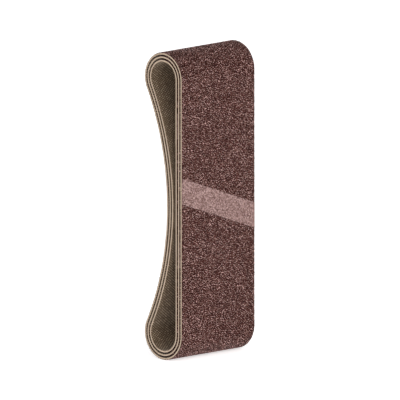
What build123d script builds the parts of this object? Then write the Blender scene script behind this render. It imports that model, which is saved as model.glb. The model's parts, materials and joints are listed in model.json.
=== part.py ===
from build123d import *
import os
from math import atan2, cos, hypot, pi, radians, sin, tan

# Three endless cloth-backed sanding belts, nested one inside the next as a pack is stored on a peg.
# Millimetres. X runs across the belts' width, +Z is up along the pack's length, and the flat run of each
# belt faces -Y. The origin is the peg seat: the crown of the innermost belt's upper turn, at mid width.

# ---- Driving dimensions ----
belt_width = 60.0           # edge to edge, along X
belt_length = 400.0         # round the outer belt, measured at the middle of its cloth
turn_radius = 14.6          # outer belt's upper and lower turns, at the middle of its cloth
waist_gap = 1.8             # clear space between the inner belt's two runs at the pinched waist

cloth_thickness = 0.95      # woven backing, with its filler
bond_thickness = 0.08       # resin that glues the grain to the cloth
grain_thickness = 0.37      # abrasive grain with the resin coat over it
nest_gap = 0.65             # air between the grain of one belt and the cloth of the next one out

joint_angle = 19.6          # slant of every joint from square across the belt, in degrees
joint_band_width = 14.3     # levelled band over the joint, square to the joint line
joint_recess = 0.12         # how far the levelled band lies below the grain
seam_width = 0.3            # glue line between the two cut ends of the strip
tape_width = 20.0           # film that bridges the seam on the inside, square to the joint line
tape_thickness = 0.12
joint_stagger = 38.0        # how far the middle and inner belts' joints sit from the outer belt's

overrun = 1.0               # how far a cutter passes the face it cuts

# ---- Worked out from those ----
belt_pitch = cloth_thickness + bond_thickness + grain_thickness + nest_gap
belts = ["outer", "middle", "inner"]
cloth_inside = {name: turn_radius - cloth_thickness / 2 - i * belt_pitch for i, name in enumerate(belts)}
inmost_radius = cloth_inside["inner"]
joint_height = {"outer": 0.0, "middle": -joint_stagger, "inner": joint_stagger}


def waist_arc(half_span):
    """Offset of the back run's arc centre behind the turn centres, its distance from each, and its angle."""
    squeeze = 2 * inmost_radius - waist_gap
    offset = (half_span**2 - squeeze**2) / (2 * squeeze)
    return offset, hypot(offset, half_span), atan2(half_span, offset)


def loop_length(half_span, radius):
    """Length of the closed loop whose turns have this radius."""
    _, reach, angle = waist_arc(half_span)
    return 2 * half_span + 2 * angle * reach + 2 * pi * radius


def half_span_for(length, radius):
    """Half the distance between the turn centres that gives a loop its length, found by halving."""
    low, high = 2 * inmost_radius, length / 2
    for _ in range(60):
        middle = (low + high) / 2
        if loop_length(middle, radius) < length:
            low = middle
        else:
            high = middle
    return (low + high) / 2


half_span = half_span_for(belt_length, turn_radius)
arc_offset, arc_reach, arc_angle = waist_arc(half_span)
middle_z = -inmost_radius - half_span       # height of the waist, below the peg seat


def loop_face(radius):
    """The area inside a loop: straight front run, two round turns and a back run that bows in to the waist."""

    def on_turn(angle, side):
        return (radius * cos(angle), side * (half_span + radius * sin(angle)))

    front_top, front_bottom = on_turn(pi, 1), on_turn(pi, -1)
    back_top, back_bottom = on_turn(-arc_angle, 1), on_turn(-arc_angle, -1)
    crown = (pi - arc_angle) / 2
    waist = (arc_offset - arc_reach + radius, 0)
    outline = [
        Line(front_bottom, front_top),
        ThreePointArc(front_top, on_turn(crown, 1), back_top),
        ThreePointArc(back_top, waist, back_bottom),
        ThreePointArc(back_bottom, on_turn(crown, -1), front_bottom),
    ]
    return make_face(outline)


def layer(inside, outside):
    """One layer of a belt: all that lies between two loops, over the full width."""
    profile = Plane.YZ * Pos(0, middle_z) * (loop_face(outside) - loop_face(inside))
    return extrude(profile, belt_width / 2, both=True)


def joint_cutter(name, width):
    """A slanted bar through a belt's front run alone, as wide as given square to the joint line."""
    half_wide = belt_width / 2 + overrun
    rise = half_wide * tan(radians(joint_angle))
    half_high = width / cos(radians(joint_angle)) / 2
    corners = [
        (-half_wide, rise - half_high),
        (half_wide, -rise - half_high),
        (half_wide, -rise + half_high),
        (-half_wide, rise + half_high),
    ]
    bar = Plane.XZ * Pos(0, middle_z + joint_height[name]) * make_face(Polyline(*corners, close=True))
    front = -cloth_inside[name] - belt_pitch - overrun
    back = -cloth_inside[name] + waist_gap / 2
    return Pos(0, back, 0) * extrude(bar, back - front)


def one_solid(shape):
    """The single solid inside a shape that has been cut or trimmed."""
    solids = shape.solids()
    assert len(solids) == 1, f"expected one solid and found {len(solids)}"
    return solids[0]


def belt_pieces(name):
    """Every piece of one belt, by node name."""
    cloth_in = cloth_inside[name]
    cloth_out = cloth_in + cloth_thickness
    bond_out = cloth_out + bond_thickness
    grain_out = bond_out + grain_thickness
    seam = joint_cutter(name, seam_width)
    band = joint_cutter(name, joint_band_width)
    tape = joint_cutter(name, tape_width)
    pieces = {
        "cloth_backing": layer(cloth_in, cloth_out) - seam,
        "seam_glue": layer(cloth_in, bond_out) & seam,
        "resin_bond": layer(cloth_out, bond_out) - seam,
        "grain_coat": layer(bond_out, grain_out) - band,
        "levelled_joint": layer(bond_out, grain_out - joint_recess) & band,
        "joint_tape": layer(cloth_in - tape_thickness, cloth_in) & tape,
    }
    return {f"{name}_{piece}": one_solid(shape) for piece, shape in pieces.items()}


os.makedirs("parts", exist_ok=True)
for name in belts:
    for node, solid in belt_pieces(name).items():
        solid.label = node
        export_step(solid, f"parts/{node}.step")

# ---- What was made, for the record ----
outermost = cloth_inside["outer"] + cloth_thickness + bond_thickness + grain_thickness
print(f"half span between turn centres {half_span:.3f}, waist at z {middle_z:.3f}")
print(f"back run: arc centre {arc_offset:.3f} behind, reach {arc_reach:.3f}, angle {arc_angle:.4f} rad")
print(f"pack: {belt_width:.2f} wide, {2 * (half_span + outermost):.2f} long, {2 * outermost:.2f} thick")
for name in belts:
    centreline = cloth_inside[name] + cloth_thickness / 2
    print(f"{name} belt: inside radius {cloth_inside[name]:.3f}, cloth {loop_length(half_span, centreline):.1f} round")
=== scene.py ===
# %% [markdown]
# # A nest of sanding belts
#
# Three endless sanding belts lie one inside the next, as they are stored on a peg. Each belt is a strip of
# woven cotton with crushed brown alumina glued to its outside, bent round and joined into a loop. The flat
# front run carries a slanted joint, the ends are round, and the back run bows in to a waist.
#
# The CAD frame gives every layer its true size and place. This notebook gives the layers their looks. Each
# layer is made flat, as at the factory, and then bent round the loop by one formula.

# %% Libraries and the frame
import json
import math

import bmesh
import bpy
import numpy as np
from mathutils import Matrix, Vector

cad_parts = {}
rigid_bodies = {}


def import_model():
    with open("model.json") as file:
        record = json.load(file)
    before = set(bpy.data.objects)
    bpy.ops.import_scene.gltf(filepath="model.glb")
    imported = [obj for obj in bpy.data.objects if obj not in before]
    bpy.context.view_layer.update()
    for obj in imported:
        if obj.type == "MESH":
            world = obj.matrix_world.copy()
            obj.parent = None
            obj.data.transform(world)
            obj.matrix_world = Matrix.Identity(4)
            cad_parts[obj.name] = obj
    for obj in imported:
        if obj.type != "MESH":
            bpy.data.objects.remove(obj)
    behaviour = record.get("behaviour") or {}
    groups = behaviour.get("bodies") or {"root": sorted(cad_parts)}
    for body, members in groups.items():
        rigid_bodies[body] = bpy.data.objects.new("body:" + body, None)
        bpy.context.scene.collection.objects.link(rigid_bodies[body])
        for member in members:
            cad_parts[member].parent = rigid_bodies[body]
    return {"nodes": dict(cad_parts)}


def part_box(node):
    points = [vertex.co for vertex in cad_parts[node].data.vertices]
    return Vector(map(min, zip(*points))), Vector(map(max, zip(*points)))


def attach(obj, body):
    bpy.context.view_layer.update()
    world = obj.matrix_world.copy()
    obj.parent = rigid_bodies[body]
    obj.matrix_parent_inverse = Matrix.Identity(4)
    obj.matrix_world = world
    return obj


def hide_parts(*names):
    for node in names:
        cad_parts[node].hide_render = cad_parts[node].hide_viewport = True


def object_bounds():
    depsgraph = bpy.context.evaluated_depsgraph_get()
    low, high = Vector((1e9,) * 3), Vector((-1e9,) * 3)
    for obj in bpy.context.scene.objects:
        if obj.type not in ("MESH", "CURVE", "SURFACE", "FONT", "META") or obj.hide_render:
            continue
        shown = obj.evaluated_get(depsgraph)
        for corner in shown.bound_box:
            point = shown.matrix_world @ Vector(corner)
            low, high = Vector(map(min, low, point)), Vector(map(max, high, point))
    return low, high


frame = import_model()
cad_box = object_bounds()
MM = 0.001
BELTS = ["outer", "middle", "inner"]

# %% [markdown]
# ## Sizes read from the frame
#
# All the layers of all the belts are offsets of one outline: a straight front, two round turns about the
# same two centres, and a waist arc. So a layer is known by one number, the radius of its turns. The front
# run is straight and stands that radius in front of the turn centres, and the frame's boxes give it.

# %% Radii of every face, and the shape of the outline
def front_face(node):
    """How far a node's front face stands in front of the turn centres, which are at y = 0."""
    return -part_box(node)[0].y


def corners(node):
    """A node's points, one row each."""
    return np.array([v.co for v in frame["nodes"][node].data.vertices], float)


RADII = {
    belt: {
        "inside": front_face(f"{belt}_joint_tape"),
        "cloth": front_face(f"{belt}_cloth_backing"),
        "bond": front_face(f"{belt}_resin_bond"),
        "levelled": front_face(f"{belt}_levelled_joint"),
        "grain": front_face(f"{belt}_grain_coat"),
    }
    for belt in BELTS
}
low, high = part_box("outer_grain_coat")
BELT_WIDTH = high.x - low.x
WAIST_HEIGHT = (low.z + high.z) / 2
HALF_SPAN = (high.z - low.z) / 2 - RADII["outer"]["grain"]

band = corners("outer_levelled_joint")
left_top = band[band[:, 0] < 0][:, 2].max()
right_top = band[band[:, 0] > 0][:, 2].max()
JOINT_SLOPE = (left_top - right_top) / BELT_WIDTH
print(f"belts {BELT_WIDTH / MM:.1f} mm wide, turns {2 * HALF_SPAN / MM:.1f} mm apart")
print(f"joints slope {JOINT_SLOPE:.3f} along the belt for each step across it")

# %% [markdown]
# The waist arc is the only part of the outline that no box shows. Its centre lies behind the belts, level
# with the waist, and it touches both turns. One measure settles it: how far the inner belt's two runs are
# apart at the waist. The frame's mesh has points near the waist but none quite at it, so the nearest one is
# taken, and the arc through it is settled in a few rounds.

# %% The waist arc
NEAR_WAIST = 5 * MM
OFF_THE_FRONT = 0.5 * MM
ROUNDS = 5
inside = RADII["inner"]["inside"]
cloth_points = corners("inner_cloth_backing") - [0, 0, WAIST_HEIGHT]
at_waist = abs(cloth_points[:, 2]) < NEAR_WAIST
on_back_run = cloth_points[:, 1] > OFF_THE_FRONT - inside
near_waist = cloth_points[at_waist & on_back_run]
_, seen_y, seen_z = near_waist[near_waist[:, 1].argmin()]
waist_y = seen_y
for _ in range(ROUNDS):
    squeeze = inside - waist_y
    ARC_OFFSET = (HALF_SPAN**2 - squeeze**2) / (2 * squeeze)
    waist_y = ARC_OFFSET - math.hypot(ARC_OFFSET - seen_y, seen_z)
WAIST_GAP = waist_y + inside
ARC_REACH = math.hypot(ARC_OFFSET, HALF_SPAN)
ARC_ANGLE = math.atan2(HALF_SPAN, ARC_OFFSET)
print(f"waist gap {WAIST_GAP / MM:.2f} mm, arc centre {ARC_OFFSET / MM:.1f} mm behind")

# %% [markdown]
# ## From flat to loop
#
# A flat point has x across the belt, s along it from the middle of the joint, and a height, given as the
# radius of the layer it lies on. The loop has four stretches: up the front, over the top, down the back and
# under the bottom. A cloth keeps its length along its middle, so that is where the stretches are measured.

# %% Lengths round the loop
def middle_radius(belt):
    """The turn radius at the middle of a belt's cloth."""
    return (RADII[belt]["inside"] + RADII[belt]["cloth"]) / 2


def stretches(radius):
    """Lengths of the front, top turn, back and bottom turn at this radius."""
    turn = (math.pi + ARC_ANGLE) * radius
    return [2 * HALF_SPAN, turn, 2 * ARC_ANGLE * (ARC_REACH - radius), turn]


def loop_length(belt):
    """How long a belt is, round the middle of its cloth."""
    return sum(stretches(middle_radius(belt)))


def joint_height(belt):
    """Height of the joint's middle above the waist."""
    bottom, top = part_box(f"{belt}_levelled_joint")
    return (bottom.z + top.z) / 2 - WAIST_HEIGHT


for belt in BELTS:
    print(f"{belt} belt: cloth {loop_length(belt) / MM:.1f} mm round")

# %% [markdown]
# `bend` puts flat points on the loop. A Curve modifier could do it too, but it would stretch the layers away
# from the curve and couldn't meet the frame exactly. One formula for each stretch does, for every layer, and
# it works on whole arrays of points, which is quick.

# %% Bending flat points
def bend(flat, belt):
    """Flat points (x, s, radius) put on a belt's loop."""
    front, top, back, bottom = stretches(middle_radius(belt))
    along = np.mod(flat[:, 1] + joint_height(belt) + HALF_SPAN, loop_length(belt))
    radius = flat[:, 2]
    over = math.pi - (along - front) / top * (math.pi + ARC_ANGLE)
    down = ARC_ANGLE - (along - front - top) / back * 2 * ARC_ANGLE
    under = ARC_ANGLE - (along - front - top - back) / bottom * (math.pi + ARC_ANGLE)
    where = [along < front, along < front + top, along < front + top + back, np.full(len(flat), True)]
    y = np.select(
        where,
        [
            -radius,
            radius * np.cos(over),
            ARC_OFFSET - (ARC_REACH - radius) * np.cos(down),
            radius * np.cos(under),
        ],
    )
    z = np.select(
        where,
        [
            along - HALF_SPAN,
            HALF_SPAN + radius * np.sin(over),
            (ARC_REACH - radius) * np.sin(down),
            -HALF_SPAN + radius * np.sin(under),
        ],
    )
    return np.stack([flat[:, 0], y, z + WAIST_HEIGHT], axis=1)


joint_middle = bend(np.array([[0.0, 0.0, RADII["outer"]["levelled"]]]), "outer")[0] / MM
print("middle of the outer joint at", joint_middle.round(1).tolist(), "mm")

# %% [markdown]
# A mesh is bent point by point. It keeps a flat copy of every point as an attribute, so that weave and grain
# patterns can follow the belt round its turns, and don't slide or shear as they would in plain object space.

# %% Pieces on the loop
def put_on_loop(mesh, belt, most=None):
    """Bends a flat mesh round a belt's loop. No point is left further out than most."""
    flat = np.empty(len(mesh.vertices) * 3, np.float32)
    mesh.vertices.foreach_get("co", flat)
    flat = flat.reshape(-1, 3).astype(float)
    if most is not None:
        flat[:, 2] = np.minimum(flat[:, 2], most)
    kept = mesh.attributes.new("flat", "FLOAT_VECTOR", "POINT")
    kept.data.foreach_set("vector", flat.astype(np.float32).ravel())
    mesh.vertices.foreach_set("co", bend(flat, belt).astype(np.float32).ravel())
    mesh.update()


def new_piece(name, mesh):
    """An object at the origin that shows a mesh."""
    mesh.name = name
    piece = bpy.data.objects.new(name, mesh)
    bpy.context.scene.collection.objects.link(piece)
    return piece

# %% [markdown]
# ## A strip with slanted ends
#
# Cloth, grain bed, joint band and tape are all strips. The two ends are cut on the joint's slant, so that
# they meet in a sloping line. A strip is a closed solid: a fine outer face that can carry relief, a coarser
# inner face, two long edges and two ends. The rows of the mesh lie on the slant near the joint and turn
# square to the belt further off, so that they stay true on the round turns.

# %% The slant of the rows
SLANT_FADES_OVER = 70 * MM


def slanted(x, s, start, end):
    """s with the joint's slant added: all of it at the strip's two ends, and none far from them."""
    near = np.clip(np.minimum(s - start, end - s) / SLANT_FADES_OVER, 0, 1)
    keep = 1 - near * near * (3 - 2 * near) if end - start > 2 * SLANT_FADES_OVER else np.ones_like(s)
    return s - x * JOINT_SLOPE * keep


print(f"rows are square to the belt {SLANT_FADES_OVER / MM:.0f} mm from a joint")

# %% [markdown]
# The strip maker writes every face itself, because the fine outer face and the coarse inner face have to meet
# at the ends without a gap. There, one many-sided face for each coarse column takes up the fine points.
# A modifier such as Solidify would give both faces the same number of points, most of them never seen.

# %% The strip maker
INNER_COLUMNS = 12


def strip(name, belt, start, end, low, high, cell, relief=None, materials=()):
    """A closed strip from s = start to end, between two radii, bent round its belt.
    relief(rows, columns) is how far each point of the outer face lies below it.
    Its materials are those of the outer face, the edges and the inner face."""
    per = max(1, round(BELT_WIDTH / cell / INNER_COLUMNS))
    columns, rows = INNER_COLUMNS * per + 1, max(2, round((end - start) / cell) + 1)
    s = np.linspace(start, end, rows)
    outer = np.stack(np.meshgrid(np.linspace(-0.5, 0.5, columns) * BELT_WIDTH, s), axis=2)
    drop = np.zeros((rows, columns)) if relief is None else relief(rows, columns)
    inner = outer[:, ::per]
    flat = [
        np.column_stack([face[..., 0].ravel(), slanted(face[..., 0], face[..., 1], start, end).ravel(), r])
        for face, r in ((outer, (high - drop).ravel()), (inner, np.full(inner[..., 0].size, low)))
    ]
    top = np.arange(rows * columns).reshape(rows, columns)
    under = rows * columns + np.arange(rows * (INNER_COLUMNS + 1)).reshape(rows, INNER_COLUMNS + 1)

    def quads(a, b, c, d):
        return np.stack([a, b, c, d], axis=-1).reshape(-1, 4).tolist()

    outside = quads(top[:-1, :-1], top[:-1, 1:], top[1:, 1:], top[1:, :-1])
    inside = quads(under[:-1, :-1], under[1:, :-1], under[1:, 1:], under[:-1, 1:])
    edges = quads(top[:-1, 0], top[1:, 0], under[1:, 0], under[:-1, 0])
    edges += quads(top[:-1, -1], under[:-1, -1], under[1:, -1], top[1:, -1])
    for i in range(INNER_COLUMNS):
        first = top[0, i * per:(i + 1) * per + 1].tolist()
        last = top[-1, i * per:(i + 1) * per + 1].tolist()
        edges.append(first[::-1] + [int(under[0, i]), int(under[0, i + 1])])
        edges.append(last + [int(under[-1, i + 1]), int(under[-1, i])])
    mesh = bpy.data.meshes.new(name)
    mesh.from_pydata(np.concatenate(flat).tolist(), [], outside + edges + inside)
    for material in materials:
        mesh.materials.append(material)
    if len(materials) == 3:
        which = [0] * len(outside) + [1] * len(edges) + [2] * len(inside)
        mesh.polygons.foreach_set("material_index", which)
    put_on_loop(mesh, belt)
    return new_piece(name, mesh)

# %% [markdown]
# ## Small helpers for node trees
#
# Shader trees and geometry trees are built the same way: add a node, set its options, and feed each input
# with a value or with another node's output. One helper does that. The others are for what is needed again
# and again: a colour ramp, a sum, a vector, and a mixture of two patterns.

# %% Node helpers
def add(tree, kind, inputs=None, **options):
    """A new node. inputs maps a socket's name or number to a value or to another node's output."""
    node = tree.nodes.new(kind)
    for option, value in options.items():
        setattr(node, option, value)
    for key, value in (inputs or {}).items():
        if isinstance(key, int):
            socket = node.inputs[key]
        else:
            socket = next(s for s in node.inputs if s.name == key and s.enabled)
        if isinstance(value, bpy.types.NodeSocket):
            tree.links.new(value, socket)
        else:
            socket.default_value = value
    return node


def ramp(tree, factor, stops):
    """A colour ramp's output. stops is a list of (place, (red, green, blue))."""
    node = add(tree, "ShaderNodeValToRGB", {"Fac": factor})
    for place, colour in stops[2:]:
        node.color_ramp.elements.new(place)
    for element, (place, colour) in zip(node.color_ramp.elements, stops):
        element.position = place
        element.color = (*colour, 1)
    return node.outputs["Color"]


def maths(tree, a, b=0.0, operation="ADD"):
    """The sum of a and b, or what another operation makes of them."""
    return add(tree, "ShaderNodeMath", {0: a, 1: b}, operation=operation).outputs[0]


def vector(tree, x=0.0, y=0.0, z=0.0):
    return add(tree, "ShaderNodeCombineXYZ", {0: x, 1: y, 2: z}).outputs[0]


def mixture(tree, a, share, b):
    """That share of a, and the rest of b."""
    return maths(tree, maths(tree, a, share, "MULTIPLY"), maths(tree, b, 1 - share, "MULTIPLY"))

# %% [markdown]
# ## Patterns and finishes
#
# Every finish here is a pattern turned into a colour, and often into bumps too. The patterns read the flat
# place, so a cloud or a fleck has the same size all round the belt. Roughness and the like are the same all
# over a finish, and are set on the shader itself.

# %% Patterns and finishes
BUMP_STRENGTH = 0.8


def finish_material(name, build, roughness=0.6, specular=0.5, **constants):
    """A material. build(tree) returns the outputs for colour and, if it has any, for bump height in metres.
    constants are other sockets of the shader, with _ for each space in their names."""
    material = bpy.data.materials.new(name)
    material.use_nodes = True
    tree = material.node_tree
    shader = tree.nodes["Principled BSDF"]
    shader.inputs["Roughness"].default_value = roughness
    shader.inputs["Specular IOR Level"].default_value = specular
    for socket, value in constants.items():
        shader.inputs[socket.replace("_", " ")].default_value = value
    made = build(tree)
    tree.links.new(made["colour"], shader.inputs["Base Color"])
    if "height" in made:
        height = {"Height": made["height"], "Distance": 1.0, "Strength": BUMP_STRENGTH}
        tree.links.new(add(tree, "ShaderNodeBump", height).outputs["Normal"], shader.inputs["Normal"])
    return material


def flat_place(tree):
    """The point's flat place (x, s, radius), which follows the belt round its loop."""
    return add(tree, "ShaderNodeAttribute", attribute_name="flat").outputs["Vector"]


def own_shade(tree):
    """The number from 0 to 1 that a crystal or a yarn keeps for itself."""
    return add(tree, "ShaderNodeAttribute", attribute_name="shade").outputs["Fac"]


def noise(tree, place, cell, detail=3.0):
    """Soft clouds, about a cell across."""
    made = add(tree, "ShaderNodeTexNoise", {"Vector": place, "Scale": 1 / cell, "Detail": detail})
    return made.outputs["Fac"]


def speckle(tree, place, cell):
    """A crowd of cells with one random number from 0 to 1 in each."""
    made = add(tree, "ShaderNodeTexVoronoi", {"Vector": place, "Scale": 1 / cell})
    return add(tree, "ShaderNodeSeparateColor", {"Color": made.outputs["Color"]}).outputs["Red"]


def bumps(tree, pattern, height):
    return maths(tree, pattern, height, "MULTIPLY")

# %% [markdown]
# ## The grain's colours
#
# Crushed brown alumina is a mixture: nearly black crystals, red-brown ones, and paler pinkish ones whose
# broken faces catch the light. The nearly black ones are painted darker than the grain is, as painted shade
# between the crystals, and the palest ones paler than it is, as painted glints on their broken faces. A resin
# size coat lies between them and dulls them a little. One texture could paint that mixture, but separate
# crystals with separate finishes also shade and sparkle by themselves from every side. Each crystal keeps a
# number of its own, `shade`, which picks its colour.

# %% Crystal materials
def crystal_colours(darkest, palest):
    def build(tree):
        place = flat_place(tree)
        mixed = mixture(tree, own_shade(tree), 0.60, noise(tree, place, 0.28 * MM))
        return {
            "colour": ramp(tree, mixed, [(0.1, darkest), (0.9, palest)]),
            "height": bumps(tree, noise(tree, place, 0.12 * MM), 0.02 * MM),
        }

    return build


CRYSTAL_KINDS = {
    # Painted shade: the nearly black crystals are darker than the grain, for the shade between crystals.
    "dark": {
        "apart": 0.82 * MM, "largest": 1.08 * MM, "lift": 0.50, "roughness": 0.5,
        "colours": crystal_colours((0.003, 0.001, 0.001), (0.022, 0.004, 0.002)),
    },
    "brown": {
        "apart": 0.71 * MM, "largest": 0.94 * MM, "lift": 0.42, "roughness": 0.45,
        "colours": crystal_colours((0.032, 0.007, 0.005), (0.180, 0.065, 0.053)),
    },
    # Painted highlight: the palest crystals are paler than the grain, for glints on their broken faces.
    "pale": {
        "apart": 0.84 * MM, "largest": 0.96 * MM, "lift": 0.50, "roughness": 0.4,
        "colours": crystal_colours((0.245, 0.107, 0.091), (0.930, 0.600, 0.550)),
    },
}
GRAIN_GLOSS = 0.08
CRYSTAL_FINISHES = {
    name: finish_material(f"{name}_crystals", kind["colours"], kind["roughness"], GRAIN_GLOSS)
    for name, kind in CRYSTAL_KINDS.items()
}
print("crystal kinds:", ", ".join(CRYSTAL_KINDS))

# %% [markdown]
# Between the crystals lies the size coat, a thin dark resin that drifts a little in tone along the belt, and
# it is painted darker than the resin, nearly black, as painted shade between the crystals. At a belt's cut
# edges the grain is sheared through, and shows as fine dark and pale specks, painted mostly dark as painted
# shade in the narrow gaps between the nested belts.

# %% Size coat and cut grain, both with painted shade
def size_coat_and_shade(tree):
    place = flat_place(tree)
    drift = maths(tree, noise(tree, place, 18 * MM), 0.2, "MULTIPLY")
    # Painted shade: the ramp reaches nearly black, darker than the resin, for the shade between crystals.
    colour = ramp(
        tree,
        maths(tree, noise(tree, place, 0.5 * MM), drift),
        [(0.35, (0.009, 0.001, 0.001)), (0.80, (0.065, 0.018, 0.012))],
    )
    return {"colour": colour, "height": bumps(tree, noise(tree, place, 0.25 * MM), 0.05 * MM)}


def cut_grain_and_gap_shade(tree):
    place = flat_place(tree)
    # Painted shade: mostly dark specks, for the shade in the gaps between nested belts, with a few pale ones
    # of sheared grain.
    colour = ramp(
        tree,
        speckle(tree, place, 0.30 * MM),
        [(0.0, (0.012, 0.005, 0.003)), (0.6, (0.038, 0.017, 0.011)), (1.0, (0.150, 0.088, 0.066))],
    )
    return {"colour": colour, "height": bumps(tree, noise(tree, place, 0.2 * MM), 0.04 * MM)}


SIZE_COAT_AND_SHADE = finish_material("size_coat_and_shade", size_coat_and_shade, 0.5, GRAIN_GLOSS)
CUT_GRAIN_AND_GAP_SHADE = finish_material("cut_grain_edge_and_gap_shade", cut_grain_and_gap_shade, 0.7, 0.2)
print("between and beside them:", SIZE_COAT_AND_SHADE.name, CUT_GRAIN_AND_GAP_SHADE.name)

# %% [markdown]
# ## The levelled joint's finish
#
# Over the joint the grain is ground down until the belt runs without a bump. The crystals are cut off flat,
# so their pale insides show as fine dots in a pinkish band, duller and smoother than the grain beside it.

# %% Levelled joint material
def levelled_grain(tree):
    place = flat_place(tree)
    dots = speckle(tree, place, 0.50 * MM)
    clouds = noise(tree, place, 5 * MM, detail=4.0)
    colour = ramp(
        tree,
        mixture(tree, dots, 0.80, clouds),
        [(0.08, (0.082, 0.034, 0.028)), (0.48, (0.216, 0.117, 0.104)), (0.90, (0.500, 0.340, 0.318))],
    )
    return {"colour": colour, "height": bumps(tree, noise(tree, place, 0.3 * MM), 0.04 * MM)}


LEVELLED = finish_material("levelled_grain", levelled_grain, 0.6, 0.25)
print("joint band:", LEVELLED.name)

# %% [markdown]
# ## The cloth's colours
#
# The backing is a heavy cotton weave, filled with size and browned by the cured resin. Inside the loop its
# raised yarns show paler than the filled hollows between them. At the cut edges the yarns are sliced
# through, and the fresh cotton is the palest part of the whole belt.

# %% Cloth materials
def filled_cloth(tree):
    place = flat_place(tree)
    stains = noise(tree, place, 9 * MM, detail=4.0)
    fibres = noise(tree, place, 0.22 * MM)
    colour = ramp(
        tree,
        mixture(tree, stains, 0.5, fibres),
        [(0.3, (0.055, 0.033, 0.017)), (0.75, (0.145, 0.094, 0.053))],
    )
    return {"colour": colour, "height": bumps(tree, fibres, 0.05 * MM)}


def raised_yarn(tree):
    along_yarn = add(tree, "ShaderNodeMapping", {"Vector": flat_place(tree), "Scale": (1.0, 4.0, 4.0)})
    fibres = noise(tree, along_yarn.outputs["Vector"], 0.35 * MM)
    colour = ramp(
        tree,
        mixture(tree, own_shade(tree), 0.6, fibres),
        [(0.15, (0.170, 0.112, 0.066)), (0.85, (0.520, 0.390, 0.270))],
    )
    return {"colour": colour, "height": bumps(tree, fibres, 0.05 * MM)}


def cut_cloth(tree):
    place = flat_place(tree)
    yarns = noise(tree, place, 0.5 * MM)
    drift = noise(tree, place, 14 * MM)
    colour = ramp(
        tree,
        mixture(tree, yarns, 0.7, drift),
        [(0.25, (0.300, 0.218, 0.150)), (0.5, (0.470, 0.365, 0.275)), (0.75, (0.640, 0.530, 0.425))],
    )
    return {"colour": colour, "height": bumps(tree, yarns, 0.06 * MM)}


FILLED_CLOTH = finish_material("filled_cloth", filled_cloth, 0.9, 0.2, Sheen_Weight=0.15)
RAISED_YARN = finish_material("raised_yarn", raised_yarn, 0.85, 0.2, Sheen_Weight=0.25)
CUT_CLOTH = finish_material("cut_cloth_edge", cut_cloth, 0.9, 0.2)
print("cloth finishes:", FILLED_CLOTH.name, RAISED_YARN.name, CUT_CLOTH.name)

# %% [markdown]
# ## Resin, glue and film
#
# Three thin things hold a belt together. The bond under the grain is a hard brown resin and shows only as
# a dark line in the cut edge. The seam is filled with an amber glue. A film tape, stiffened with threads,
# bridges the seam inside the loop, and being plastic it is the one satin surface among matt ones.

# %% Resin, glue and film materials
def cured(dark, light, cell):
    def build(tree):
        place = add(tree, "ShaderNodeTexCoord").outputs["Object"]
        cloud = noise(tree, place, cell)
        return {
            "colour": ramp(tree, cloud, [(0.3, dark), (0.7, light)]),
            "height": bumps(tree, cloud, 0.02 * MM),
        }

    return build


def film(tree):
    place = flat_place(tree)
    haze = noise(tree, place, 3 * MM)
    colour = ramp(tree, haze, [(0.3, (0.240, 0.175, 0.115)), (0.7, (0.360, 0.280, 0.200))])
    return {"colour": colour, "height": bumps(tree, noise(tree, place, 0.6 * MM), 0.01 * MM)}


def glass_threads(tree):
    clouds = noise(tree, flat_place(tree), 0.8 * MM)
    return {"colour": ramp(tree, clouds, [(0.3, (0.42, 0.36, 0.28)), (0.7, (0.60, 0.54, 0.45))])}


BOND_BROWN = cured((0.030, 0.013, 0.010), (0.085, 0.042, 0.030), 0.6 * MM)
GLUE_AMBER = cured((0.075, 0.040, 0.020), (0.170, 0.100, 0.055), 0.4 * MM)
BOND_RESIN = finish_material("bond_resin", BOND_BROWN, 0.35)
SEAM_GLUE = finish_material("seam_glue", GLUE_AMBER, 0.4)
FILM = finish_material("joint_film", film, roughness=0.28, specular=0.55)
THREADS = finish_material("film_threads", glass_threads, roughness=0.4)
print("resin, glue and film:", BOND_RESIN.name, SEAM_GLUE.name, FILM.name, THREADS.name)

# %% [markdown]
# ## Geometry trees
#
# Everything that repeats is made by a Geometry Nodes tree with named inputs. All the trees begin and end
# alike: they begin with their inputs, and end by turning copies into real geometry with a material.

# %% How trees begin and end
SOCKETS = {
    float: "NodeSocketFloat",
    int: "NodeSocketInt",
    bpy.types.Material: "NodeSocketMaterial",
    bpy.types.Collection: "NodeSocketCollection",
}


def new_tree(name, **kinds):
    """An empty geometry tree with a named input for each keyword, and the outputs that hand them on."""
    tree = bpy.data.node_groups.new(name, "GeometryNodeTree")
    tree.interface.new_socket("Geometry", in_out="INPUT", socket_type="NodeSocketGeometry")
    tree.interface.new_socket("Geometry", in_out="OUTPUT", socket_type="NodeSocketGeometry")
    for key, kind in kinds.items():
        tree.interface.new_socket(key, in_out="INPUT", socket_type=SOCKETS[kind])
    given = tree.nodes.new("NodeGroupInput").outputs
    return tree, given


def random_number(tree, low, high, seed, kind="FLOAT"):
    """Random values between low and high, the same ones every time for a seed."""
    node = add(tree, "FunctionNodeRandomValue", {"Min": low, "Max": high, "Seed": seed}, data_type=kind)
    return next(s for s in node.outputs if s.enabled)


def place_of(tree):
    """The x, y and z of the point at hand."""
    return add(tree, "ShaderNodeSeparateXYZ", {0: add(tree, "GeometryNodeInputPosition").outputs[0]}).outputs


def copies(tree, points, shape, scale, **more):
    """Copies of a shape on points. more are other inputs, with _ for each space in their names."""
    inputs = {"Points": points, "Instance": shape, "Scale": scale}
    inputs.update({key.replace("_", " "): value for key, value in more.items()})
    return add(tree, "GeometryNodeInstanceOnPoints", inputs).outputs[0]


def shaded(tree, instances, seed):
    """The instances, each with a random number of its own that its material reads as its shade."""
    named = {"Geometry": instances, "Name": "shade", "Value": random_number(tree, 0.0, 1.0, seed)}
    kept = add(tree, "GeometryNodeStoreNamedAttribute", named, data_type="FLOAT", domain="INSTANCE")
    return kept.outputs[0]


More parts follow.
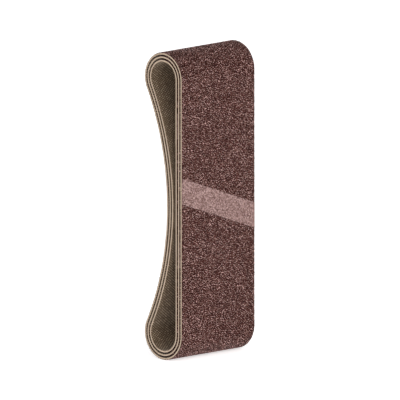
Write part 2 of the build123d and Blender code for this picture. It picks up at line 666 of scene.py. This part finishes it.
def end_tree(tree, geometry, material):
    """Ends a tree the way every tree here ends: real geometry, with a material."""
    real = add(tree, "GeometryNodeRealizeInstances", {0: geometry})
    finished = add(tree, "GeometryNodeSetMaterial", {"Geometry": real.outputs[0], "Material": material})
    out = tree.nodes.new("NodeGroupOutput")
    tree.links.new(finished.outputs[0], out.inputs[0])


print("inputs of a tree can be:", ", ".join(kind.__name__ for kind in SOCKETS))

# %% [markdown]
# `run_tree` gives a tree its inputs, lets Blender evaluate it once on a stand-in object, and keeps the result
# as a plain mesh. An input is set by its identifier, because the modifier doesn't know it by name.

# %% Running a tree
def run_tree(tree, source, **inputs):
    """The plain mesh that a tree makes from a source mesh and its named inputs."""
    stand_in = bpy.data.objects.new("stand_in", source)
    bpy.context.scene.collection.objects.link(stand_in)
    modifier = stand_in.modifiers.new("made", "NODES")
    modifier.node_group = tree
    for item in tree.interface.items_tree:
        if item.item_type == "SOCKET" and item.in_out == "INPUT" and item.name in inputs:
            modifier[item.identifier] = inputs[item.name]
    graph = bpy.context.evaluated_depsgraph_get()
    mesh = bpy.data.meshes.new_from_object(stand_in.evaluated_get(graph))
    bpy.data.objects.remove(stand_in)
    return mesh


def empty_mesh():
    """The source for a tree that makes its own points."""
    return bpy.data.meshes.new("empty")

# %% [markdown]
# ## Crystal shapes
#
# A crushed grain is a small block with flat broken faces and sharp corners. Its shape could be an icosphere
# with noise, but that looks like a pebble. The hull round six points, one near each end of three axes, has
# eight flat triangles, which is crisp and light enough to repeat many thousands of times.

# %% A handful of crystal shapes
SHAPE_COUNT = 6
AXIS_ENDS = ((1, 0, 0), (-1, 0, 0), (0, 1, 0), (0, -1, 0), (0, 0, 1), (0, 0, -1))
LEAN = 0.45
NEAREST_CORNER, FURTHEST_CORNER = 0.44, 0.58

rng = np.random.default_rng(40)
CRYSTAL_SHAPES = bpy.data.collections.new("crystal_shapes")
for index in range(SHAPE_COUNT):
    shape = bmesh.new()
    for axis in AXIS_ENDS:
        direction = axis + rng.uniform(-LEAN, LEAN, 3)
        shape.verts.new(direction / np.linalg.norm(direction) * rng.uniform(NEAREST_CORNER, FURTHEST_CORNER))
    hull = bmesh.ops.convex_hull(shape, input=shape.verts)
    bmesh.ops.delete(shape, geom=list(set(hull["geom_interior"])), context="VERTS")
    crystal = bpy.data.meshes.new(f"crystal_{index}")
    shape.to_mesh(crystal)
    shape.free()
    CRYSTAL_SHAPES.objects.link(bpy.data.objects.new(f"crystal_{index}", crystal))

# %% [markdown]
# ## Crystals scattered in resin
#
# Grain is shaken onto wet resin, so it lies at random but never quite on top of itself. Poisson sampling
# gives just that: random points that keep a least distance, when more points are tried than fit. At every
# point the tree puts one of the crystal shapes, with a size, a stretch and a turn of its own. Each kind of
# crystal has a scatter to itself, so that dark, brown and pale ones are all spread evenly. One scatter
# shared out between them came out in patches.

# %% The scatter tree: points, sizes and turns
NARROWEST, LONGEST = 0.62, 1.35
TRIED_ON_EACH_SPACING = 4.0

scatter, given = new_tree(
    "scattered_crystals",
    Shapes=bpy.types.Collection,
    Spacing=float,
    Smallest=float,
    Largest=float,
    Thickness=float,
    Tilt=float,
    Seed=int,
    Material=bpy.types.Material,
)
tried = maths(scatter, TRIED_ON_EACH_SPACING, maths(scatter, given["Spacing"], 2.0, "POWER"), "DIVIDE")
points = add(
    scatter,
    "GeometryNodeDistributePointsOnFaces",
    {
        "Mesh": given["Geometry"],
        "Distance Min": given["Spacing"],
        "Density Max": tried,
        "Seed": given["Seed"],
    },
    distribute_method="POISSON",
).outputs["Points"]
size = random_number(scatter, given["Smallest"], given["Largest"], maths(scatter, given["Seed"], 2))
stretch = random_number(scatter, NARROWEST, LONGEST, maths(scatter, given["Seed"], 3))
scale = vector(
    scatter,
    size,
    maths(scatter, size, stretch, "MULTIPLY"),
    maths(scatter, size, given["Thickness"], "MULTIPLY"),
)
back = maths(scatter, given["Tilt"], -1.0, "MULTIPLY")
turn = random_number(
    scatter,
    vector(scatter, back, back, 0.0),
    vector(scatter, given["Tilt"], given["Tilt"], 2 * math.pi),
    maths(scatter, given["Seed"], 4),
    "FLOAT_VECTOR",
)
print("crystals are", NARROWEST, "to", LONGEST, "times as long as wide")

# %% [markdown]
# Separate Children gives each crystal shape a number, and a random whole number picks one at each point.
# The turn is free about the upright axis, but tips over only a little, so that crystals lie down in the
# resin.

# %% The scatter tree: a crystal on every point
shapes = add(
    scatter,
    "GeometryNodeCollectionInfo",
    {"Collection": given["Shapes"], "Separate Children": True, "Reset Children": True},
)
picked = random_number(scatter, 0, SHAPE_COUNT - 1, maths(scatter, given["Seed"], 5), "INT")
placed = copies(
    scatter, points, shapes.outputs[0], scale, Pick_Instance=True, Instance_Index=picked, Rotation=turn
)
end_tree(scatter, shaded(scatter, placed, maths(scatter, given["Seed"], 6)), given["Material"])
print("scatter tree:", len(scatter.nodes), "nodes")

# %% [markdown]
# ## Yarns on the cloth's bare side
#
# In the weave each weft yarn dives under some warp yarns and comes up over the next, and where it comes up
# it makes a short pale float. The floats stand in staggered rows, like bricks. The tree lays a grid of
# points over the flat strip, shifts every second row by half a float, and leaves out the points beyond the
# slanted ends. Every float is the same small pillow, a little uneven in size.

# %% One float
PILLOW_FOOT = 0.62

shape = bmesh.new()
bmesh.ops.create_cube(shape, size=1.0)
for vertex in shape.verts:
    if vertex.co.z < 0:
        vertex.co.x *= PILLOW_FOOT
        vertex.co.y *= PILLOW_FOOT
for face in shape.faces:
    face.smooth = True
YARN_PILLOW = bpy.data.objects.new("yarn_pillow", bpy.data.meshes.new("yarn_pillow"))
shape.to_mesh(YARN_PILLOW.data)
shape.free()
PILLOWS = bpy.data.collections.new("pillows")
PILLOWS.objects.link(YARN_PILLOW)
print("faces on each float:", len(YARN_PILLOW.data.polygons))

# %% [markdown]
# The weave tree first lays its grid, one point for each float. A random wander of a tenth of a millimetre
# takes the look of graph paper out of it, as real yarns are never quite in line.

# %% The weave tree: a staggered grid
WANDER = (0.12 * MM, 0.05 * MM, 0.0)

weave, given = new_tree(
    "woven_floats",
    Shapes=bpy.types.Collection,
    Width=float,
    Length=float,
    Slope=float,
    Across=float,
    Along=float,
    Height=float,
    Level=float,
    Seed=int,
    Material=bpy.types.Material,
)
half_length = maths(weave, given["Length"], 0.5, "MULTIPLY")
overlong = maths(weave, given["Length"], maths(weave, given["Width"], given["Slope"], "MULTIPLY"))
grid = add(
    weave,
    "GeometryNodeMeshGrid",
    {
        "Size X": maths(weave, given["Width"], given["Across"], "SUBTRACT"),
        "Size Y": overlong,
        "Vertices X": maths(weave, given["Width"], given["Across"], "DIVIDE"),
        "Vertices Y": maths(weave, overlong, given["Along"], "DIVIDE"),
    },
)
at = place_of(weave)
row = maths(weave, maths(weave, at["Y"], given["Along"], "DIVIDE"), operation="ROUND")
odd = maths(weave, row, 2.0, "FLOORED_MODULO")
shift = maths(weave, maths(weave, odd, 0.5, "SUBTRACT"), given["Across"], "MULTIPLY")
x = maths(weave, at["X"], maths(weave, shift, 0.5, "MULTIPLY"))
s = maths(weave, at["Y"], half_length)
wander = random_number(
    weave, tuple(-reach for reach in WANDER), WANDER, maths(weave, given["Seed"], 2), "FLOAT_VECTOR"
)
staggered = add(
    weave,
    "GeometryNodeSetPosition",
    {"Geometry": grid.outputs[0], "Position": vector(weave, x, s, given["Level"]), "Offset": wander},
)
print("rows are shifted by half a float, and wander by up to", WANDER[0] / MM, "mm")

# %% [markdown]
# The grid is square but the strip's ends are slanted, so the grid is made overlong and every float past an
# end is left out. The rest get a pillow each, with its length across the belt a little uneven.

# %% The weave tree: floats on the strip
FLOAT_SHARE_ACROSS, FLOAT_SHARE_ALONG = 0.64, 0.80
SHORTEST_FLOAT = 0.82

there = place_of(weave)
from_middle = maths(weave, there["Y"], half_length, "SUBTRACT")
level_with = maths(weave, from_middle, maths(weave, there["X"], given["Slope"], "MULTIPLY"))
far = maths(weave, level_with, operation="ABSOLUTE")
reach = maths(weave, maths(weave, given["Length"], given["Along"], "SUBTRACT"), 0.5, "MULTIPLY")
on_strip = add(weave, "FunctionNodeCompare", {0: far, 1: reach}, operation="LESS_THAN")
uneven = random_number(weave, SHORTEST_FLOAT, 1.0, given["Seed"])
float_size = vector(
    weave,
    maths(weave, maths(weave, given["Across"], FLOAT_SHARE_ACROSS, "MULTIPLY"), uneven, "MULTIPLY"),
    maths(weave, given["Along"], FLOAT_SHARE_ALONG, "MULTIPLY"),
    given["Height"],
)
pillows = add(weave, "GeometryNodeCollectionInfo", {"Collection": given["Shapes"]})
floats = copies(
    weave, staggered.outputs[0], pillows.outputs[0], float_size, Selection=on_strip.outputs[0]
)
end_tree(weave, shaded(weave, floats, maths(weave, given["Seed"], 1)), given["Material"])
print("weave tree:", len(weave.nodes), "nodes")

# %% [markdown]
# ## Yarn ends
#
# The weft yarns are cut through at both edges, and their ends make a row of small tufts. A texture on the
# edge could show them, but from close by the edge would stay a knife cut. So the tree makes a line of points
# along each edge and puts a short, seven-sided stub on every one, each a little taller or prouder.

# %% The yarn-end tree
TUFT_SIDES = 7
SHORTEST_TUFT, TALLEST_TUFT = 0.7, 1.05
LEAST_PROUD, MOST_PROUD = 0.6, 2.0
TUFT_SHARE_OF_PITCH = 0.86

tufts, given = new_tree(
    "yarn_ends",
    Width=float,
    Length=float,
    Slope=float,
    Pitch=float,
    Level=float,
    Tall=float,
    Proud=float,
    Seed=int,
    Material=bpy.types.Material,
)
half_width = maths(tufts, given["Width"], 0.5, "MULTIPLY")
both = add(tufts, "GeometryNodeJoinGeometry")
for side in (-1.0, 1.0):
    x = maths(tufts, half_width, side, "MULTIPLY")
    drop = maths(tufts, maths(tufts, x, given["Slope"], "MULTIPLY"), -1.0, "MULTIPLY")
    start = maths(tufts, drop, maths(tufts, given["Pitch"], 0.5, "MULTIPLY"))
    edge_line = add(
        tufts,
        "GeometryNodeMeshLine",
        {
            "Count": maths(tufts, given["Length"], given["Pitch"], "DIVIDE"),
            "Start Location": vector(tufts, x, start, given["Level"]),
            "Offset": vector(tufts, y=given["Pitch"]),
        },
    )
    tufts.links.new(edge_line.outputs[0], both.inputs[0])
stub = add(
    tufts, "GeometryNodeMeshCylinder", {"Vertices": TUFT_SIDES, "Radius": 0.5, "Depth": 1.0}, fill_type="NGON"
)
on_side = add(tufts, "GeometryNodeTransform", {"Geometry": stub.outputs[0], "Rotation": (0, math.pi / 2, 0)})
taller = random_number(tufts, SHORTEST_TUFT, TALLEST_TUFT, given["Seed"])
prouder = random_number(tufts, LEAST_PROUD, MOST_PROUD, maths(tufts, given["Seed"], 1))
tuft_size = vector(
    tufts,
    maths(tufts, given["Proud"], prouder, "MULTIPLY"),
    maths(tufts, given["Pitch"], TUFT_SHARE_OF_PITCH, "MULTIPLY"),
    maths(tufts, given["Tall"], taller, "MULTIPLY"),
)
end_tree(tufts, copies(tufts, both.outputs[0], on_side.outputs[0], tuft_size), given["Material"])
print("yarn-end tree:", len(tufts.nodes), "nodes")

# %% [markdown]
# ## Film threads
#
# The joint's film tape is stiffened by threads that run along the belt, side by side, and they stand up in
# fine ribs. They are one line of points across the tape, which steps down with the joint's slant, and a long
# thin bar on each point.

# %% The film-thread tree
FIRST_THREAD = 0.49

lines, given = new_tree(
    "film_threads",
    Width=float,
    Length=float,
    Slope=float,
    Pitch=float,
    Thick=float,
    Level=float,
    Material=bpy.types.Material,
)
out = maths(lines, given["Width"], FIRST_THREAD, "MULTIPLY")
first = vector(
    lines, maths(lines, out, -1.0, "MULTIPLY"), maths(lines, out, given["Slope"], "MULTIPLY"), given["Level"]
)
down = maths(lines, maths(lines, given["Pitch"], given["Slope"], "MULTIPLY"), -1.0, "MULTIPLY")
row_of_points = add(
    lines,
    "GeometryNodeMeshLine",
    {
        "Count": maths(lines, given["Width"], given["Pitch"], "DIVIDE"),
        "Start Location": first,
        "Offset": vector(lines, given["Pitch"], down),
    },
)
bar = add(lines, "GeometryNodeMeshCube", {"Size": (1.0, 1.0, 1.0)})
bar_size = vector(lines, given["Thick"], given["Length"], given["Thick"])
end_tree(lines, copies(lines, row_of_points.outputs[0], bar.outputs[0], bar_size), given["Material"])
print("film-thread tree:", len(lines.nodes), "nodes")

# %% [markdown]
# ## Loose fibres
#
# A cut cotton edge always sheds a few fine fibres. Hair curves could make them, but a belt needs only some
# dozens. So the tree bends one short three-sided tube and scatters copies of it on the edge, turned to
# the outside of the belt on either side, with a random swing and length.

# %% The loose-fibre tree
ARC = {"Start": (0, 0, 0), "Middle": (0.35, 0.0, 0.45), "End": (1.0, 0.1, 0.3)}
ARC_STEPS, FIBRE_SIDES = 4, 3
SWING = (0.6, 0.9, 1.0)
SHORTEST_SHARE = 0.3

fibres, given = new_tree(
    "loose_fibres",
    Density=float,
    Longest=float,
    Fineness=float,
    Seed=int,
    Material=bpy.types.Material,
)
roots = add(
    fibres,
    "GeometryNodeDistributePointsOnFaces",
    {"Mesh": given["Geometry"], "Density": given["Density"], "Seed": given["Seed"]},
)
arc = add(fibres, "GeometryNodeCurveQuadraticBezier", {"Resolution": ARC_STEPS, **ARC})
wire = add(
    fibres, "GeometryNodeCurvePrimitiveCircle", {"Resolution": FIBRE_SIDES, "Radius": given["Fineness"]}
)
tube = add(
    fibres,
    "GeometryNodeCurveToMesh",
    {"Curve": arc.outputs[0], "Profile Curve": wire.outputs[0], "Fill Caps": True},
)
swing = random_number(
    fibres, tuple(-reach for reach in SWING), SWING, maths(fibres, given["Seed"], 1), "FLOAT_VECTOR"
)
on_left = add(fibres, "FunctionNodeCompare", {0: place_of(fibres)["X"], 1: 0.0}, operation="LESS_THAN")
half_turn = maths(fibres, on_left.outputs[0], math.pi, "MULTIPLY")
faced = add(fibres, "ShaderNodeVectorMath", {0: swing, 1: vector(fibres, z=half_turn)})
shortest = maths(fibres, given["Longest"], SHORTEST_SHARE, "MULTIPLY")
length = random_number(fibres, shortest, given["Longest"], maths(fibres, given["Seed"], 2))
strand_size = vector(fibres, length, length, length)
strands = copies(fibres, roots.outputs["Points"], tube.outputs[0], strand_size, Rotation=faced.outputs[0])
end_tree(fibres, strands, given["Material"])
print("trees:", ", ".join(sorted(group.name for group in bpy.data.node_groups)))

# %% [markdown]
# ## Laying up a belt
#
# One belt is laid up in the order of the real thing: cloth, floats and yarn ends, then the grain bed and
# its crystals, then the levelled joint and the tape behind it. Every layer is made flat and bent. How wide
# the joint's pieces are along the belt is read from the frame, and every piece is handed to its belt.

# %% The joint's widths and the belt's own pieces
EDGE_MARGIN = 0.3 * MM


def width_along(node):
    """How long a slanted joint piece is along the belt: its box, less what the slant adds."""
    bottom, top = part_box(node)
    return top.z - bottom.z - BELT_WIDTH * JOINT_SLOPE


def flat_sheet(start, end, level):
    """A flat four-cornered sheet with slanted ends, just inside the belt's edges, for scattering on."""
    half = BELT_WIDTH / 2 - EDGE_MARGIN
    start, end = start + EDGE_MARGIN, end - EDGE_MARGIN
    corner = [
        (x, s - x * JOINT_SLOPE, level) for x, s in ((-half, start), (half, start), (half, end), (-half, end))
    ]
    mesh = bpy.data.meshes.new("flat_sheet")
    mesh.from_pydata(corner, [], [(0, 1, 2, 3)])
    return mesh


def give(piece, belt, slot, *nodes):
    """The piece rides on its belt and stands for CAD nodes. slot is not used."""
    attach(piece, f"{belt}_belt")
    if nodes:
        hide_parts(*nodes)
    return piece


for belt in BELTS:
    band_width, tape_width = width_along(f"{belt}_levelled_joint"), width_along(f"{belt}_joint_tape")
    print(f"{belt} joint: band {band_width / MM:.1f} mm along the belt, tape {tape_width / MM:.1f} mm")

# %% [markdown]
# ## Cloth with its weave
#
# The cloth is a strip as thick as the backing, less the floats, which stand on its bare side. Yarn ends line
# both of its edges, and fibres are shed from a narrow ribbon along each edge. They are pieces of their own
# because each repeats one small shape, and they hang with the cloth.

# %% Laying the cloth
CLOTH_CELL = 1.6 * MM
FLOAT_HEIGHT = 0.13 * MM
YARN_PITCH = 0.75 * MM
FLOAT_PITCH = 2.2 * MM
TUFT_SHARE_OF_CLOTH = 0.7
TUFT_PROUD = 0.06 * MM
FIBRE_RIBBON = 0.3 * MM
FIBRES_ON_SQUARE_METRE = 0.35e6
LONGEST_FIBRE = 1.6 * MM
FIBRE_FINENESS = 0.018


def edge_ribbons(start, end, level):
    """Two narrow upright ribbons on the belt's edges."""
    half = BELT_WIDTH / 2
    ends = (start + half * JOINT_SLOPE, end - half * JOINT_SLOPE)
    corner = [(x, s, level) for x in (-half, half) for s in ends]
    corner += [(x, s, level + FIBRE_RIBBON) for x, s, level in corner]
    mesh = bpy.data.meshes.new("edge_ribbons")
    mesh.from_pydata(corner, [], [(0, 1, 5, 4), (2, 3, 7, 6)])
    return mesh


def lay_cloth(belt, seed):
    size = RADII[belt]
    seam = width_along(f"{belt}_seam_glue")
    start, end = seam / 2, loop_length(belt) - seam / 2
    bare_side, middle_level = size["inside"] + FLOAT_HEIGHT, (size["inside"] + size["cloth"]) / 2
    cloth = strip(
        f"{belt}_cloth", belt, start, end, bare_side, size["cloth"], CLOTH_CELL,
        materials=(FILLED_CLOTH, CUT_CLOTH, FILLED_CLOTH),
    )
    made = {
        "yarn_floats": run_tree(
            weave, empty_mesh(), Shapes=PILLOWS, Width=BELT_WIDTH, Length=end - start, Slope=JOINT_SLOPE,
            Across=FLOAT_PITCH, Along=YARN_PITCH, Height=2 * FLOAT_HEIGHT, Level=bare_side, Seed=seed,
            Material=RAISED_YARN,
        ),
        "yarn_ends": run_tree(
            tufts, empty_mesh(), Width=BELT_WIDTH, Length=end - start, Slope=JOINT_SLOPE, Pitch=YARN_PITCH,
            Level=middle_level, Tall=TUFT_SHARE_OF_CLOTH * (size["cloth"] - size["inside"]), Proud=TUFT_PROUD,
            Seed=seed + 10, Material=CUT_CLOTH,
        ),
        "loose_fibres": run_tree(
            fibres, edge_ribbons(start, end, middle_level), Density=FIBRES_ON_SQUARE_METRE,
            Longest=LONGEST_FIBRE, Fineness=FIBRE_FINENESS, Seed=seed + 20, Material=CUT_CLOTH,
        ),
    }
    extras = []
    for name, mesh in made.items():
        put_on_loop(mesh, belt)
        extras.append(give(new_piece(f"{belt}_{name}", mesh), belt, "backing_cloth"))
    give(cloth, belt, "backing_cloth", f"{belt}_cloth_backing")
    return cloth, extras


print(f"a float every {YARN_PITCH / MM} mm along the belt and every {FLOAT_PITCH / MM} mm across")

# %% [markdown]
# ## Grain bed and crystals
#
# The bed is the dark resin that the crystals sit in, painted darker still as painted shade between them: a
# strip whose outer face is rough, and always a good way below the tops of the crystals. Each kind of crystal
# is scattered over it at its own height in the coat. No crystal may stand out of the CAD's coat, so tips that
# would are pressed flat to its surface. The outer belt shows most, so its crystals are closest together.

# %% Laying the grain
GRAIN_CELL = 1.0 * MM
SHALLOWEST, DEEPEST = 0.60, 0.95
SMALLEST_SHARE = 0.6
CRYSTAL_THICKNESS = 0.45
CRYSTAL_TILT = 0.6


def lay_grain(belt, seed, thinning):
    size = RADII[belt]
    coat = size["grain"] - size["bond"]
    joint = width_along(f"{belt}_levelled_joint")
    start, end = joint / 2, loop_length(belt) - joint / 2
    rough = np.random.default_rng(seed)
    bed = strip(
        f"{belt}_grain_bed", belt, start, end, size["bond"], size["grain"], GRAIN_CELL,
        relief=lambda rows, columns: rough.uniform(SHALLOWEST, DEEPEST, (rows, columns)) * coat,
        materials=(SIZE_COAT_AND_SHADE, CUT_GRAIN_AND_GAP_SHADE, SIZE_COAT_AND_SHADE),
    )
    made = [give(bed, belt, "grain", f"{belt}_grain_coat")]
    for number, (name, kind) in enumerate(CRYSTAL_KINDS.items()):
        crystals = run_tree(
            scatter, flat_sheet(start, end, size["bond"] + kind["lift"] * coat), Shapes=CRYSTAL_SHAPES,
            Spacing=kind["apart"] * thinning, Smallest=SMALLEST_SHARE * kind["largest"],
            Largest=kind["largest"], Thickness=CRYSTAL_THICKNESS, Tilt=CRYSTAL_TILT,
            Seed=seed + 100 * number, Material=CRYSTAL_FINISHES[name],
        )
        put_on_loop(crystals, belt, most=size["grain"])
        made.append(give(new_piece(f"{belt}_{name}_crystals", crystals), belt, "grain"))
    return made


print("the bed's face lies", SHALLOWEST, "to", DEEPEST, "of the coat below its surface")

# %% [markdown]
# ## Levelled joint and tape
#
# The band over the joint is a strip of its own, with a face that is nearly smooth. Behind the cloth lies the
# film tape, with its threads half sunk in it. Film this thin needs no relief, so its cells are large.

# %% Laying the joint
JOINT_CELL = 0.45 * MM
JOINT_RELIEF = 0.06 * MM
TAPE_CELL = 2.5 * MM
TAPE_THREAD = 0.05 * MM
THREAD_PITCH = 1.1 * MM
THREAD_SHARE = 0.94
THREAD_SUNK = 0.2


def lay_joint(belt, seed):
    size = RADII[belt]
    joint = width_along(f"{belt}_levelled_joint")
    rough = np.random.default_rng(seed)
    levelled = strip(
        f"{belt}_levelled", belt, -joint / 2, joint / 2, size["bond"], size["levelled"], JOINT_CELL,
        relief=lambda rows, columns: rough.uniform(0.0, JOINT_RELIEF, (rows, columns)),
        materials=(LEVELLED, CUT_GRAIN_AND_GAP_SHADE, LEVELLED),
    )
    give(levelled, belt, "levelled_grain", f"{belt}_levelled_joint")
    bottom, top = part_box(f"{belt}_joint_tape")
    long, thick = width_along(f"{belt}_joint_tape"), top.y - bottom.y
    tape = strip(
        f"{belt}_tape", belt, -long / 2, long / 2, size["inside"] - thick, size["inside"], TAPE_CELL,
        materials=(FILM, FILM, FILM),
    )
    give(tape, belt, "joint_film", f"{belt}_joint_tape")
    threads = run_tree(
        lines, empty_mesh(), Width=BELT_WIDTH, Length=THREAD_SHARE * long, Slope=JOINT_SLOPE,
        Pitch=THREAD_PITCH, Thick=2 * TAPE_THREAD, Level=size["inside"] - thick + THREAD_SUNK * TAPE_THREAD,
        Material=THREADS,
    )
    put_on_loop(threads, belt)
    give(new_piece(f"{belt}_film_threads", threads), belt, "joint_film")
    return levelled, tape


print(f"threads in the tape every {THREAD_PITCH / MM} mm")

# %% [markdown]
# ## All three belts
#
# The belts are laid up in turn, each with seeds of its own so that no two look alike. Bond and seam glue are
# CAD solids with the right shape already, so they stay and only get their finish. The crystal shapes and the
# pillow were only patterns to copy, and are removed.

# %% Laying up all three belts
CLOTH_SEED, GRAIN_SEED, JOINT_SEED = 100, 200, 300
INNER_THINNING = 1.2

for number, belt in enumerate(BELTS):
    cloth, extras = lay_cloth(belt, CLOTH_SEED + number)
    grain = lay_grain(belt, GRAIN_SEED + 10 * number, 1.0 if belt == "outer" else INNER_THINNING)
    levelled, tape = lay_joint(belt, JOINT_SEED + number)
    for node, finish in ((f"{belt}_resin_bond", BOND_RESIN), (f"{belt}_seam_glue", SEAM_GLUE)):
        frame["nodes"][node].data.materials.clear()
        frame["nodes"][node].data.materials.append(finish)
    for piece in (cloth, *extras, *grain, levelled, tape):
        piece.data.calc_loop_triangles()
        print(f"{piece.name}: {len(piece.data.loop_triangles)} triangles")

for group in (CRYSTAL_SHAPES, PILLOWS):
    for helper in list(group.objects):
        bpy.data.objects.remove(helper)
    bpy.data.collections.remove(group)

# %% [markdown]
# ## Camera
#
# The pack is drawn in parallel projection, so the camera is orthographic. It stands to the left of the
# front and a little above, at 45 degrees round and 10 degrees up, and looks at the middle of the pack.

# %% Camera
AZIMUTH, ELEVATION = -45, 10
VIEW_HEIGHT = 0.2335
CAMERA_DISTANCE = 0.8


def direction_to(azimuth, elevation):
    """The direction from the pack to something that stands at these angles, in degrees."""
    turn, lift = math.radians(azimuth), math.radians(elevation)
    return Vector((math.sin(turn) * math.cos(lift), -math.cos(turn) * math.cos(lift), math.sin(lift)))


def aim(thing, azimuth, elevation, distance):
    """Stands a camera or a lamp at these angles and this distance, facing the middle of the pack."""
    toward = direction_to(azimuth, elevation)
    thing.location = middle + toward * distance
    thing.rotation_euler = toward.to_track_quat("Z", "Y").to_euler()
    bpy.context.scene.collection.objects.link(thing)


lowest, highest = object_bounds()
middle = (Vector(lowest) + Vector(highest)) / 2
camera = bpy.data.objects.new("camera", bpy.data.cameras.new("camera"))
camera.data.type = "ORTHO"
camera.data.ortho_scale = VIEW_HEIGHT
aim(camera, AZIMUTH, ELEVATION, CAMERA_DISTANCE)
bpy.context.scene.camera = camera
print("camera at", [round(v, 3) for v in camera.location])

# %% [markdown]
# ## Floor
#
# The pack stands on a white light table, a floor that glows a little by itself. It lights the undersides of
# the turns from below, and keeps the ground white, with only a short soft shadow where the belts stand.

# %% Floor
FLOOR_HALF = 4.0
FLOOR_GLOW = 0.60
FLOOR_CLOUDS = 400 * MM


def plain_white(tree):
    clouds = noise(tree, add(tree, "ShaderNodeTexCoord").outputs["Object"], FLOOR_CLOUDS)
    return {"colour": ramp(tree, clouds, [(0.3, (0.92, 0.92, 0.92)), (0.7, (0.95, 0.95, 0.95))])}


floor_mesh = bpy.data.meshes.new("floor")
floor_mesh.from_pydata(
    [(x * FLOOR_HALF, y * FLOOR_HALF, cad_box[0][2]) for x, y in ((-1, -1), (1, -1), (1, 1), (-1, 1))],
    [], [(0, 1, 2, 3)],
)
floor_mesh.materials.append(finish_material(
    "white_floor", plain_white, 0.9, 0.1, Emission_Color=(1, 1, 1, 1), Emission_Strength=FLOOR_GLOW
))
floor = new_piece("floor", floor_mesh)
print(f"floor {2 * FLOOR_HALF:.0f} m square, {-cad_box[0][2] / MM:.1f} mm below the origin")

# %% [markdown]
# ## Surround
#
# A surround that is brightest at the horizon and dimmer overhead stands in for a light tent. It could be one
# even white, but the upper turns would then look brighter than the front, and views from low down greyer.

# %% Surround
HORIZON_GLOW, OVERHEAD_GLOW = 0.96, 0.28

world = bpy.data.worlds.new("surround")
world.use_nodes = True
backdrop = world.node_tree.nodes["Background"]
backdrop.inputs["Color"].default_value = (1, 1, 1, 1)
direction = add(world.node_tree, "ShaderNodeTexCoord").outputs["Generated"]
upward = add(world.node_tree, "ShaderNodeSeparateXYZ", {0: direction}).outputs["Z"]
glow = add(
    world.node_tree, "ShaderNodeMapRange", {"Value": upward, "To Min": HORIZON_GLOW, "To Max": OVERHEAD_GLOW}
)
world.node_tree.links.new(glow.outputs[0], backdrop.inputs["Strength"])
bpy.context.scene.world = world
bpy.context.scene.view_settings.view_transform = "Standard"
print("surround glows from", HORIZON_GLOW, "at the horizon to", OVERHEAD_GLOW, "overhead")

# %% [markdown]
# ## Lamps
#
# High in front stands a very broad sun, which shapes the crystals and leaves no hard shadow. A weak lamp on
# the left opens up the insides of the loops.

# %% Lamps
LAMP_AZIMUTH, LAMP_ELEVATION, LAMP_DISTANCE = -75, 15, 0.7
LAMP_WATTS, LAMP_SIZE = 0.8, 0.5
SUN_STRENGTH, SUN_BREADTH = 0.85, 40
SUN_FROM_OVERHEAD, SUN_TO_THE_LEFT = 55, -25

left_lamp = bpy.data.objects.new("left_lamp", bpy.data.lights.new("left_lamp", "AREA"))
left_lamp.data.energy = LAMP_WATTS
left_lamp.data.size = LAMP_SIZE
aim(left_lamp, LAMP_AZIMUTH, LAMP_ELEVATION, LAMP_DISTANCE)

sun = bpy.data.objects.new("sun", bpy.data.lights.new("sun", "SUN"))
sun.data.energy = SUN_STRENGTH
sun.data.angle = math.radians(SUN_BREADTH)
sun.rotation_euler = (math.radians(SUN_FROM_OVERHEAD), 0, math.radians(SUN_TO_THE_LEFT))
bpy.context.scene.collection.objects.link(sun)
print("lights:", left_lamp.name, sun.name)

# %% [markdown]
# ## Sizes
#
# The last cell prints the CAD box.

# %% Sizes
print("CAD box", [list(v) for v in cad_box])
